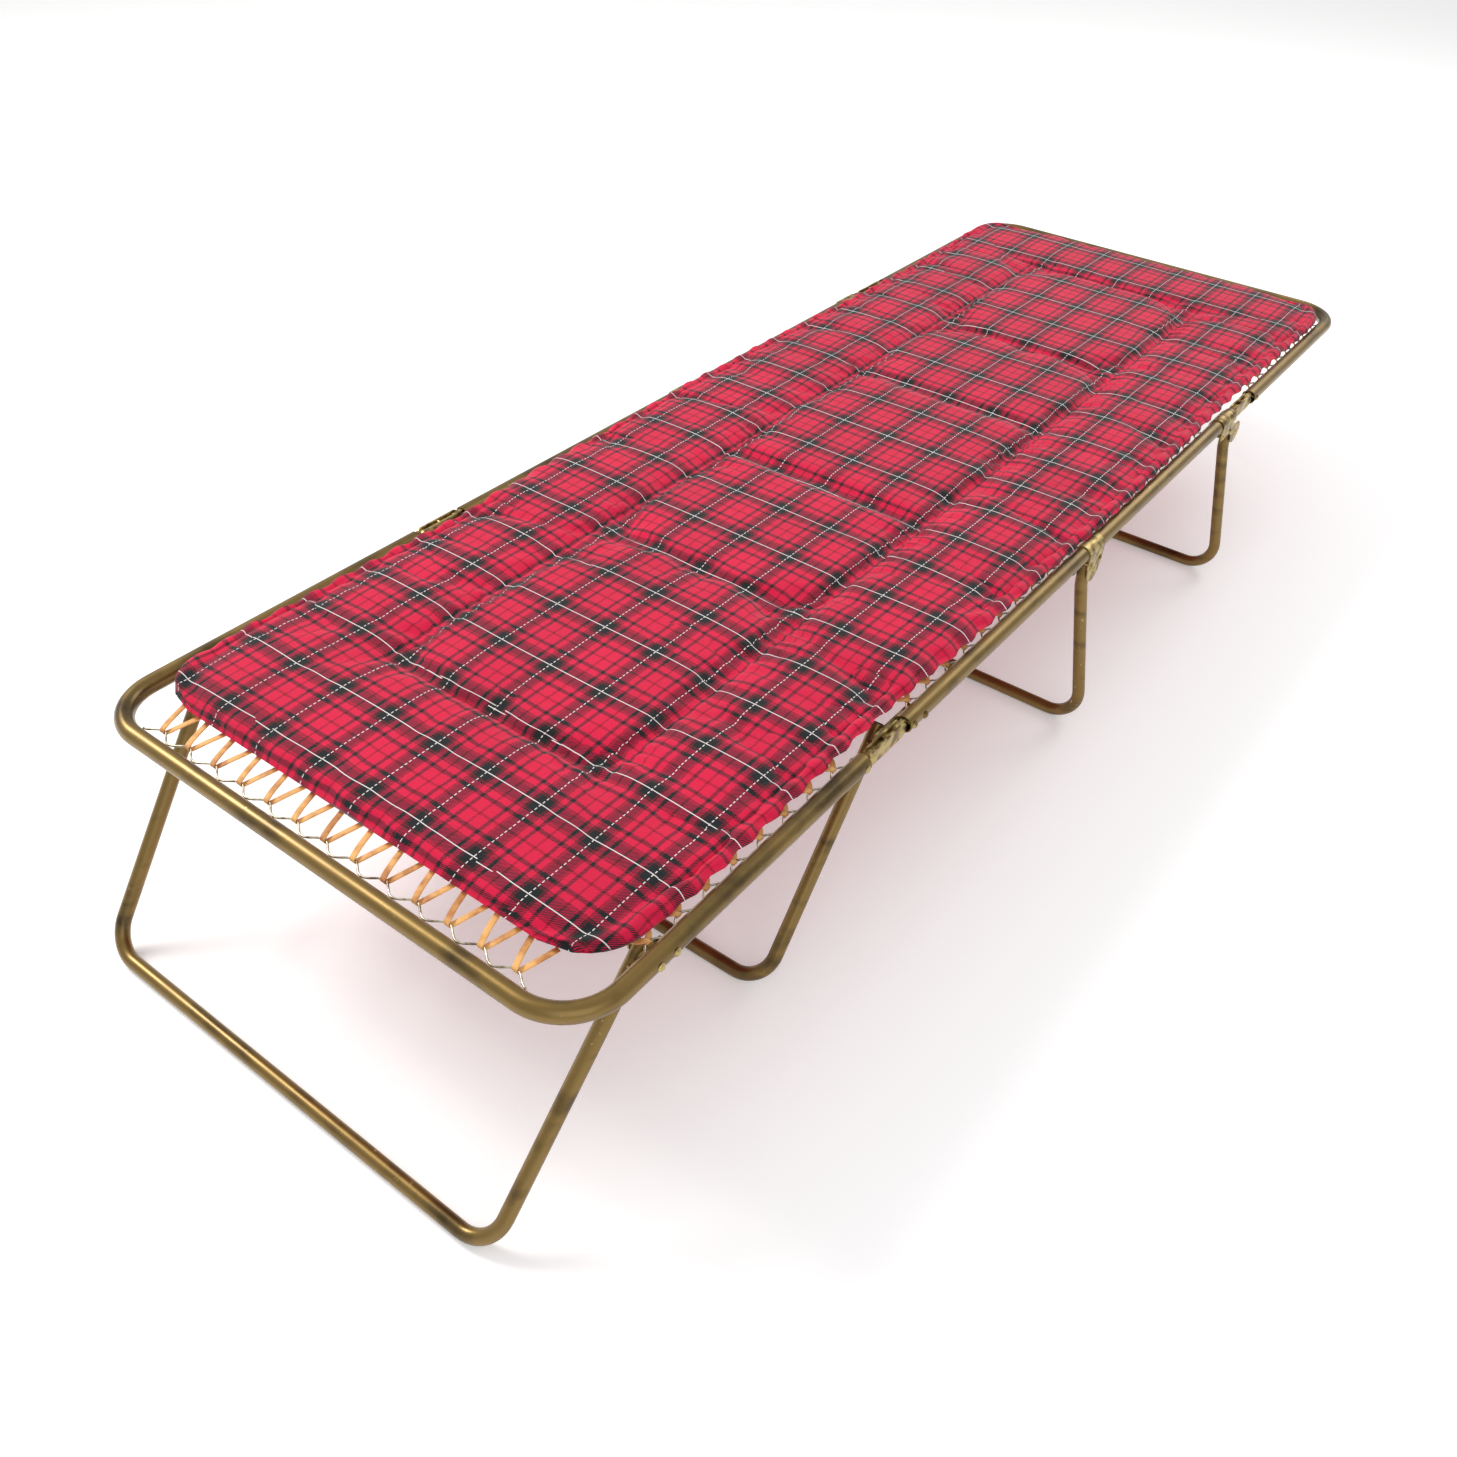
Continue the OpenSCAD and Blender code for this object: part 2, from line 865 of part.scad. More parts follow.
module leg_bow_2() {
  leaning_leg(leg_2_x, leg_2_angle, leg_2_len, leg_2_taper);
}

module leg_bow_3() {
  upright_leg(leg_3_x);
}

module leg_bow_4() {
  upright_leg(leg_4_x);
}

placed() side_rail_near();
placed() side_rail_far();
placed() rail_tongues_mid();
placed() tongue_rivets_mid();
placed() leg_clamps_centre();
placed() leg_clamps_head();
placed() clamp_rivets();
placed() clamp_pins();
placed() clamp_stops();
placed() clamp_washers();
placed() leg_plates_mid();
placed() plate_rivets_mid();
placed() plate_pins_mid();
placed() edge_wires_mid();
placed() lacing_mid();
placed() pad_mid();
placed() foot_bow();
placed() tongues_foot();
placed() tongue_rivets_foot();
placed() leg_plates_foot();
placed() plate_rivets_foot();
placed() plate_pins_foot();
placed() edge_wires_foot();
placed() lacing_foot();
placed() pad_foot();
placed() head_bow();
placed() tongues_head();
placed() tongue_rivets_head();
placed() edge_wires_head();
placed() lacing_head();
placed() pad_head();
placed() hinge_plates_foot();
placed() hinge_pins_foot();
placed() pad_fold_foot();
placed() hinge_plates_head();
placed() hinge_pins_head();
placed() pad_fold_head();
placed() leg_bow_1();
placed() leg_bow_2();
placed() leg_bow_3();
placed() leg_bow_4();
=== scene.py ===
"""Folding camp cot: dresses the tube frame, sews the quilted pad and laces it to the wires."""

from __future__ import annotations

import json
import logging
import math
from dataclasses import dataclass, field
from enum import Enum

import bmesh
import bpy
import numpy as np
from mathutils import Matrix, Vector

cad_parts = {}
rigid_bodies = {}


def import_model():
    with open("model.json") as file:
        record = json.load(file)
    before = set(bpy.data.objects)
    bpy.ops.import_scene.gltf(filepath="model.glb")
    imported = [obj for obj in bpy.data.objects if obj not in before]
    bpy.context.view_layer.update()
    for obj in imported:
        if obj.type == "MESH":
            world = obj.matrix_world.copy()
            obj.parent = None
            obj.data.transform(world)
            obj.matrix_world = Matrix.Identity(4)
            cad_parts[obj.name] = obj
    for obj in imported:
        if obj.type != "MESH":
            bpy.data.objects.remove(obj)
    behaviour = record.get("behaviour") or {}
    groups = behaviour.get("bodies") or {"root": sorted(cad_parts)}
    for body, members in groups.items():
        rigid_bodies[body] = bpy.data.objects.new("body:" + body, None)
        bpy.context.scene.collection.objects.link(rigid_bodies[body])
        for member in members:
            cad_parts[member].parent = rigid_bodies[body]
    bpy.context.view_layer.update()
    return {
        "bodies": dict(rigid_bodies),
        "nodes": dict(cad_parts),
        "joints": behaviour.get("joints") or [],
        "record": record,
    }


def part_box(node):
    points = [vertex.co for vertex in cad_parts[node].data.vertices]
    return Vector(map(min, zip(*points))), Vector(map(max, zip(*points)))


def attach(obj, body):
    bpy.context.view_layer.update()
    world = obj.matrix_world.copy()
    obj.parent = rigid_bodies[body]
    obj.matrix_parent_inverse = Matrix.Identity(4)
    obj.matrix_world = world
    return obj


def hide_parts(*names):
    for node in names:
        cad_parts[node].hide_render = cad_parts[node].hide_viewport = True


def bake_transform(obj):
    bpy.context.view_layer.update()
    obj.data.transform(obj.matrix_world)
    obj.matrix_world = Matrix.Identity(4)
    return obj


log = logging.getLogger("cot")

WIRE_BREAK = 0.02  # metres of rail without wire that part two lengths


# ---------------------------------------------------------------- colour and nodes


def srgb(red: int, green: int, blue: int) -> tuple[float, float, float, float]:
    """Turn a display colour into the linear colour that a shader wants.

    Args:
        red: Display red, 0 to 255.
        green: Display green, 0 to 255.
        blue: Display blue, 0 to 255.

    Returns:
        Linear red, green, blue and an alpha of one.
    """
    values = [((c / 255 + 0.055) / 1.055) ** 2.4 for c in (red, green, blue)]
    return (values[0], values[1], values[2], 1.0)


class Graph:
    """A material under construction: its nodes and a few short ways to join them."""

    def __init__(self, name: str) -> None:
        """Start a material that holds one principled shader.

        Args:
            name: The material's name.
        """
        self.material = bpy.data.materials.new(name)
        self.material.use_nodes = True
        self.tree = self.material.node_tree
        self.tree.nodes.clear()
        self.shader = self.add("ShaderNodeBsdfPrincipled")
        output = self.add("ShaderNodeOutputMaterial")
        self.tree.links.new(self.shader.outputs[0], output.inputs[0])

    def add(self, kind: str, **settings: object) -> bpy.types.Node:
        """Add a node and set its properties.

        Args:
            kind: The node's type name.
            settings: Property values by name.

        Returns:
            The new node.
        """
        node = self.tree.nodes.new(kind)
        for key, value in settings.items():
            setattr(node, key, value)
        return node

    def put(self, value: object, socket: bpy.types.NodeSocket) -> None:
        """Set a socket to a number or colour, or link another socket to it.

        Args:
            value: A number, a colour or an output socket.
            socket: The input socket to feed.
        """
        if isinstance(value, bpy.types.NodeSocket):
            self.tree.links.new(value, socket)
        else:
            socket.default_value = value

    def math(self, operation: str, *values: object) -> bpy.types.NodeSocket:
        """Join up to three values with a Math node.

        Args:
            operation: The Math node's operation.
            values: Numbers or sockets.

        Returns:
            The result's socket.
        """
        node = self.add("ShaderNodeMath", operation=operation)
        for value, socket in zip(values, node.inputs):
            self.put(value, socket)
        return node.outputs[0]

    def mix(self, factor: object, low: object, high: object) -> bpy.types.NodeSocket:
        """Mix two colours.

        Args:
            factor: Share of the second colour.
            low: Colour at a factor of zero.
            high: Colour at a factor of one.

        Returns:
            The mixed colour's socket.
        """
        node = self.add("ShaderNodeMix", data_type="RGBA")
        self.put(factor, node.inputs[0])
        self.put(low, node.inputs[6])
        self.put(high, node.inputs[7])
        return node.outputs[2]

    def product(self, first: object, second: object) -> bpy.types.NodeSocket:
        """Multiply two colours.

        Args:
            first: A colour.
            second: The colour to multiply it by.

        Returns:
            The product's socket.
        """
        node = self.add("ShaderNodeMix", data_type="RGBA", blend_type="MULTIPLY")
        node.inputs[0].default_value = 1.0
        self.put(first, node.inputs[6])
        self.put(second, node.inputs[7])
        return node.outputs[2]

    def noise(self, place: object, scale: float, detail: float = 3.0) -> bpy.types.NodeSocket:
        """Add a noise texture.

        Args:
            place: The coordinates it reads.
            scale: Its scale, in features per metre.
            detail: Its number of octaves.

        Returns:
            The noise value's socket.
        """
        node = self.add("ShaderNodeTexNoise")
        self.put(place, node.inputs["Vector"])
        node.inputs["Scale"].default_value = scale
        node.inputs["Detail"].default_value = detail
        return node.outputs[0]

    def stretched(self, factors: tuple[float, float, float]) -> bpy.types.NodeSocket:
        """Give object coordinates scaled along the three axes.

        Args:
            factors: Scale along X, Y and Z.

        Returns:
            The scaled coordinates' socket.
        """
        place = self.add("ShaderNodeTexCoord").outputs["Object"]
        node = self.add("ShaderNodeMapping")
        self.put(place, node.inputs["Vector"])
        node.inputs["Scale"].default_value = factors
        return node.outputs[0]

    def ramp(self, value: object, stops: list[tuple[float, tuple]],
             hard: bool = False) -> bpy.types.NodeSocket:
        """Turn a value into a colour by a list of stops.

        Args:
            value: The value, 0 to 1.
            stops: Place and colour of each stop, in order.
            hard: Whether colours change in steps instead of smoothly.

        Returns:
            The colour's socket.
        """
        node = self.add("ShaderNodeValToRGB")
        self.put(value, node.inputs[0])
        band = node.color_ramp
        band.interpolation = "CONSTANT" if hard else "LINEAR"
        band.elements[0].position = stops[0][0]
        band.elements[1].position = stops[-1][0]
        for place, colour in stops[1:-1]:
            band.elements.new(place)
        for element, (place, colour) in zip(band.elements, stops):
            element.color = colour
        return node.outputs[0]

    def bump(self, height: object, depth: float, strength: float = 1.0) -> None:
        """Feed a height to the shader's normal.

        Args:
            height: The height, 0 to 1.
            depth: How far a height of one stands out, in metres.
            strength: Share of the effect that is kept.
        """
        node = self.add("ShaderNodeBump")
        node.inputs["Strength"].default_value = strength
        node.inputs["Distance"].default_value = depth
        self.put(height, node.inputs["Height"])
        self.put(node.outputs[0], self.shader.inputs["Normal"])


# ---------------------------------------------------------------- finishes


@dataclass(frozen=True)
class BronzeLacquer:
    """Old bronze lacquer on bed tube: satin, streaky, dull in patches, bright where it is worn."""

    fresh: tuple = srgb(130, 105, 56)
    aged: tuple = srgb(76, 61, 34)
    worn: tuple = srgb(200, 180, 130)

    def make(self) -> bpy.types.Material:
        """Build the material.

        Returns:
            The finished material.
        """
        g = Graph("bronze_lacquer")
        place = g.stretched((1.0, 1.0, 1.0))
        streaks = g.noise(g.stretched((0.25, 0.25, 1.0)), 60.0, 4.0)
        patches = g.noise(place, 14.0, 5.0)
        tone = g.ramp(g.math("MULTIPLY_ADD", streaks, 0.5, g.math("MULTIPLY", patches, 0.5)),
                      [(0.36, self.aged), (0.52, self.fresh), (0.68, self.fresh)])
        scuffs = g.ramp(g.noise(place, 160.0, 6.0), [(0.66, (0, 0, 0, 1)), (0.72, (1, 1, 1, 1))])
        rubbed = g.ramp(g.noise(place, 9.0, 2.0), [(0.52, (0, 0, 0, 1)), (0.70, (1, 1, 1, 1))])
        wear = g.math("MULTIPLY", scuffs, rubbed)
        g.put(g.mix(wear, tone, self.worn), g.shader.inputs["Base Color"])
        g.shader.inputs["Metallic"].default_value = 0.82
        g.put(g.math("MULTIPLY_ADD", patches, 0.34, 0.20), g.shader.inputs["Roughness"])
        g.shader.inputs["Coat Weight"].default_value = 0.25
        g.shader.inputs["Coat Roughness"].default_value = 0.22
        g.bump(g.noise(place, 420.0, 3.0), 0.00012, 0.5)
        return g.material


@dataclass(frozen=True)
class YellowPlating:
    """Yellow zinc plating on pressed plates, rivets and pins, with a little tarnish."""

    bright: tuple = srgb(188, 168, 112)
    tarnish: tuple = srgb(112, 88, 50)

    def make(self) -> bpy.types.Material:
        """Build the material.

        Returns:
            The finished material.
        """
        g = Graph("yellow_plating")
        place = g.stretched((1.0, 1.0, 1.0))
        spots = g.noise(place, 90.0, 5.0)
        g.put(g.ramp(spots, [(0.40, self.tarnish), (0.58, self.bright)]), g.shader.inputs["Base Color"])
        g.shader.inputs["Metallic"].default_value = 0.95
        g.put(g.math("MULTIPLY_ADD", spots, 0.4, 0.18), g.shader.inputs["Roughness"])
        g.bump(g.noise(place, 700.0, 3.0), 0.0001, 0.4)
        return g.material


@dataclass(frozen=True)
class DrawnWire:
    """Thin drawn spring wire, pale and nearly bright."""

    bright: tuple = srgb(206, 198, 176)
    dull: tuple = srgb(134, 122, 98)

    def make(self) -> bpy.types.Material:
        """Build the material.

        Returns:
            The finished material.
        """
        g = Graph("drawn_wire")
        tone = g.noise(g.stretched((1.0, 1.0, 1.0)), 120.0, 4.0)
        g.put(g.ramp(tone, [(0.38, self.dull), (0.55, self.bright)]), g.shader.inputs["Base Color"])
        g.shader.inputs["Metallic"].default_value = 0.9
        g.put(g.math("MULTIPLY_ADD", tone, 0.3, 0.16), g.shader.inputs["Roughness"])
        return g.material


@dataclass(frozen=True)
class TanRubber:
    """Tan rubber strap, matt and slightly chalky, darker where it is stretched thin."""

    fresh: tuple = srgb(234, 176, 104)
    deep: tuple = srgb(184, 120, 62)

    def make(self) -> bpy.types.Material:
        """Build the material.

        Returns:
            The finished material.
        """
        g = Graph("tan_rubber")
        place = g.stretched((1.0, 1.0, 1.0))
        tone = g.noise(place, 55.0, 5.0)
        g.put(g.ramp(tone, [(0.36, self.deep), (0.56, self.fresh)]), g.shader.inputs["Base Color"])
        g.put(g.math("MULTIPLY_ADD", tone, 0.2, 0.5), g.shader.inputs["Roughness"])
        g.bump(g.noise(place, 900.0, 2.0), 0.0002, 0.5)
        return g.material


@dataclass(frozen=True)
class BlackNylon:
    """Black moulded nylon for the washers, faintly grained."""

    tone: tuple = srgb(30, 30, 31)

    def make(self) -> bpy.types.Material:
        """Build the material.

        Returns:
            The finished material.
        """
        g = Graph("black_nylon")
        grain = g.noise(g.stretched((1.0, 1.0, 1.0)), 1500.0, 2.0)
        g.put(g.mix(grain, self.tone, srgb(46, 46, 47)), g.shader.inputs["Base Color"])
        g.shader.inputs["Roughness"].default_value = 0.55
        g.bump(grain, 0.0001, 0.4)
        return g.material


@dataclass(frozen=True)
class Tartan:
    """Woven crimson tartan: dark bars, thin dark lines, white lines across and dashed along.

    Both directions share one sett. Its repeat is divided by shares: the dark bar sits
    on the white line, two thin dark lines stand either side and a faint one in the middle.
    """

    repeat_long: float = 0.0817
    repeat_cross: float = 0.0665
    long_start: float = -0.817
    cross_start: float = 0.0
    bar: float = 0.165
    bar_edge: float = 0.124
    thin_at: float = 0.285
    thin: float = 0.030
    white: float = 0.0062
    thread: float = 0.0011
    dash: float = 0.0052
    ragged: float = 0.026
    depth: float = 0.34
    red: tuple = srgb(224, 18, 78)
    deep: tuple = srgb(150, 10, 42)
    dark: tuple = srgb(22, 30, 33)
    pale: tuple = srgb(232, 226, 224)

    def sett(self, g: Graph, along: object) -> bpy.types.NodeSocket:
        """Colour of one set of threads from the distance across them.

        Args:
            g: The material's graph.
            along: Distance in repeats, any value.

        Returns:
            The threads' colour.
        """
        t = g.math("FRACT", g.math("ADD", along, 0.5))
        mid, bar, edge, at, thin = 0.5, self.bar, self.bar_edge, self.thin_at, self.thin
        stops = [(0.0, self.deep), (thin * 0.6, self.red), (mid - at - thin, self.dark),
                 (mid - at + thin, self.red), (mid - bar, self.dark), (mid - bar + 0.016, self.deep),
                 (mid - edge, self.dark), (mid + edge, self.deep), (mid + bar - 0.016, self.dark),
                 (mid + bar, self.red), (mid + at - thin, self.dark), (mid + at + thin, self.red),
                 (1.0 - thin * 0.6, self.deep)]
        return g.ramp(t, stops, hard=True)

    def near_line(self, g: Graph, along: object, half: float) -> bpy.types.NodeSocket:
        """One where a point is within a share of a repeat of the bar's centre.

        Args:
            g: The material's graph.
            along: Distance in repeats.
            half: The share either side.

        Returns:
            One on the line and zero off it.
        """
        off = g.math("ABSOLUTE", g.math("SUBTRACT", g.math("FRACT", g.math("ADD", along, 0.5)), 0.5))
        return g.math("LESS_THAN", off, half)

    def make(self) -> bpy.types.Material:
        """Build the material.

        Returns:
            The finished material.
        """
        g = Graph("crimson_tartan")
        split = g.add("ShaderNodeSeparateXYZ")
        g.put(g.add("ShaderNodeTexCoord").outputs["UV"], split.inputs[0])
        u, v = split.outputs[0], split.outputs[1]
        rows = g.math("DIVIDE", g.math("SUBTRACT", u, self.long_start), self.repeat_long)
        lines = g.math("DIVIDE", g.math("SUBTRACT", v, self.cross_start), self.repeat_cross)
        place = g.add("ShaderNodeTexCoord").outputs["Object"]
        stray = g.math("MULTIPLY", g.math("SUBTRACT", g.noise(place, 1400.0, 1.0), 0.5), self.ragged * 2)
        weft = self.sett(g, g.math("ADD", rows, stray))
        warp = self.sett(g, g.math("ADD", lines, stray))
        twill = g.math("FRACT", g.math("DIVIDE", g.math("ADD", u, v), self.thread * 2))
        over = g.math("LESS_THAN", twill, 0.5)
        woven = g.mix(self.depth, g.mix(over, warp, weft), g.product(warp, weft))
        dashes = g.math("LESS_THAN", g.math("FRACT", g.math("DIVIDE", u, self.dash)), 0.58)
        dashed = g.math("MULTIPLY", self.near_line(g, lines, self.white * 1.2), dashes)
        woven = g.mix(dashed, woven, self.pale)
        woven = g.mix(self.near_line(g, rows, self.white), woven, self.pale)
        fade = g.ramp(g.noise(place, 7.0, 3.0), [(0.3, (0.86, 0.86, 0.86, 1)), (0.7, (1, 1, 1, 1))])
        g.put(g.product(woven, fade), g.shader.inputs["Base Color"])
        g.shader.inputs["Roughness"].default_value = 0.86
        g.shader.inputs["Sheen Weight"].default_value = 0.18
        g.shader.inputs["Sheen Roughness"].default_value = 0.5
        g.shader.inputs["Specular IOR Level"].default_value = 0.22
        slub = g.noise(place, 900.0, 2.0)
        g.bump(g.math("MULTIPLY_ADD", twill, 0.6, slub), 0.0003, 0.55)
        return g.material


class Finish(Enum):
    """Every finish on the cot, by the record's material slot."""

    TUBE = "tube_lacquer"
    PLATE = "plated_steel"
    WIRE = "spring_wire"
    CLOTH = "pad_cloth"
    STRAP = "rubber_strap"
    WASHER = "washer_nylon"

    def make(self) -> bpy.types.Material:
        """Build this finish's material."""
        makers = {
            Finish.TUBE: BronzeLacquer,
            Finish.PLATE: YellowPlating,
            Finish.WIRE: DrawnWire,
            Finish.CLOTH: Tartan,
            Finish.STRAP: TanRubber,
            Finish.WASHER: BlackNylon,
        }
        return makers[self]().make()


# ---------------------------------------------------------------- surfaces


def new_piece(name: str, points: np.ndarray, faces: np.ndarray, material: bpy.types.Material,
              uv: np.ndarray | None = None, smooth: bool = True) -> bpy.types.Object:
    """Make a mesh object from arrays.

    Args:
        name: The piece's name.
        points: Vertex places, N by 3.
        faces: Four vertex numbers for each face, M by 4; a triangle repeats its last one.
        material: The finish.
        uv: Two flat coordinates for each vertex.
        smooth: Whether faces are shaded smoothly.

    Returns:
        The new object, linked to the scene.
    """
    mesh = bpy.data.meshes.new(name)
    quads = [tuple(f) if f[2] != f[3] else tuple(f[:3]) for f in faces.tolist()]
    mesh.from_pydata(points.tolist(), [], quads)
    if uv is not None:
        corners = np.empty(len(mesh.loops), dtype=np.int32)
        mesh.loops.foreach_get("vertex_index", corners)
        layer = mesh.uv_layers.new(name="cloth")
        layer.data.foreach_set("uv", uv[corners].astype(np.float32).ravel())
    mesh.polygons.foreach_set("use_smooth", np.full(len(mesh.polygons), smooth))
    mesh.materials.append(material)
    mesh.update()
    piece = bpy.data.objects.new(name, mesh)
    bpy.context.scene.collection.objects.link(piece)
    return piece


def grid_faces(rows: int, columns: int, closed: bool = False) -> np.ndarray:
    """Number the faces of a grid of vertices laid out row by row.

    Args:
        rows: Rows of vertices.
        columns: Vertices in a row.
        closed: Whether the last column joins the first.

    Returns:
        Vertex numbers, one face a row.
    """
    i, j = np.meshgrid(np.arange(rows - 1), np.arange(columns if closed else columns - 1), indexing="ij")
    k = (j + 1) % columns
    corners = np.stack([i * columns + j, i * columns + k, (i + 1) * columns + k, (i + 1) * columns + j], -1)
    return corners.reshape(-1, 4)


def unit(vectors: np.ndarray) -> np.ndarray:
    """Scale vectors to a length of one."""
    return vectors / np.linalg.norm(vectors, axis=-1, keepdims=True)


def smooth_path(knots: np.ndarray, count: int) -> np.ndarray:
    """Carry a Catmull-Rom curve through knots.

    Args:
        knots: Places the curve passes through, K by 3.
        count: Number of points on it.

    Returns:
        The curve's points, count by 3.
    """
    ends = np.vstack([2 * knots[0] - knots[1], knots, 2 * knots[-1] - knots[-2]])
    t = np.linspace(0, len(knots) - 1, count)
    i = np.minimum(t.astype(int), len(knots) - 2)
    s = (t - i)[:, None]
    p0, p1, p2, p3 = ends[i], ends[i + 1], ends[i + 2], ends[i + 3]
    return 0.5 * (2 * p1 + (p2 - p0) * s + (2 * p0 - 5 * p1 + 4 * p2 - p3) * s**2
                  + (3 * p1 - p0 - 3 * p2 + p3) * s**3)


def swept(path: np.ndarray, side: np.ndarray, section: np.ndarray) -> tuple[np.ndarray, np.ndarray]:
    """Carry a closed section along a path and close both ends.

    A point is path + section_x * side + section_y * up, where up is square to both
    the path and the side.

    Args:
        path: Points along the path, N by 3.
        side: Direction of the section's x at each point, N by 3.
        section: The section's outline, counter-clockwise, M by 2.

    Returns:
        The points and the faces.
    """
    ahead = unit(np.gradient(path, axis=0))
    side = unit(side - ahead * np.sum(side * ahead, axis=1, keepdims=True))
    up = np.cross(ahead, side)
    rings = path[:, None] + side[:, None] * section[None, :, :1] + up[:, None] * section[None, :, 1:]
    n, m = rings.shape[:2]
    points = np.vstack([rings.reshape(-1, 3), path[:1], path[-1:]])
    faces = grid_faces(n, m, closed=True)
    j = np.arange(m)
    k = (j + 1) % m
    start = np.stack([np.full(m, n * m), k, j, j], -1)
    end = np.stack([np.full(m, n * m + 1), (n - 1) * m + j, (n - 1) * m + k, (n - 1) * m + k], -1)
    return points, np.vstack([faces, start, end])


def rounded_strip(width: float, thickness: float, steps: int = 12) -> np.ndarray:
    """Outline of a flat strip with soft edges: a superellipse of power four.

    Args:
        width: Size along x.
        thickness: Size along y.
        steps: Number of points.

    Returns:
        The outline, steps by 2.
    """
    a = np.linspace(0, 2 * math.pi, steps, endpoint=False)
    x = np.sign(np.cos(a)) * np.abs(np.cos(a)) ** 0.5 * width / 2
    y = np.sign(np.sin(a)) * np.abs(np.sin(a)) ** 0.5 * thickness / 2
    return np.stack([x, y], -1)


def gathered(shapes: list[tuple[np.ndarray, np.ndarray]]) -> tuple[np.ndarray, np.ndarray]:
    """Put several shapes into one list of points and one of faces.

    Args:
        shapes: The points and the faces of each shape.

    Returns:
        All points and all faces, renumbered.
    """
    counts = np.cumsum([0] + [len(points) for points, _ in shapes[:-1]])
    faces = [quads + start for (_, quads), start in zip(shapes, counts)]
    return np.vstack([points for points, _ in shapes]), np.vstack(faces)


def fitted(name: str, shapes: list[tuple[np.ndarray, np.ndarray]], material: bpy.types.Material,
           node: str, body: str, finish: Finish) -> None:
    """Make one piece of several shapes and let it stand for a CAD node on its body.

    Args:
        name: The new piece's name.
        shapes: The points and the faces of each shape.
        material: The finish's material.
        node: The CAD node that it stands for.
        body: The body that it rides on.
        finish: Not used.
    """
    piece = new_piece(name, *gathered(shapes), material)
    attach(piece, body)
    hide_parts(node)
    log.info("fitted %s: %d faces", name, len(piece.data.polygons))


# ---------------------------------------------------------------- frame


@dataclass
class TubeFrame:
    """The frame as the CAD nodes give it: every node keeps its mesh and gets its finish."""

    finishes: dict[str, bpy.types.Material]

    def dress(self, frame: dict) -> None:
        """Put the right material in each CAD node's slots.
        """
        for part in frame["record"]["subparts"]:
            piece = bpy.data.objects.get(part["node"])
            if piece is None:
                continue
            material = self.finishes[part["material_slot"]]
            piece.data.materials.clear()
            piece.data.materials.append(material)
            log.info("dressed %s in %s", part["node"], material.name)


# ---------------------------------------------------------------- pad


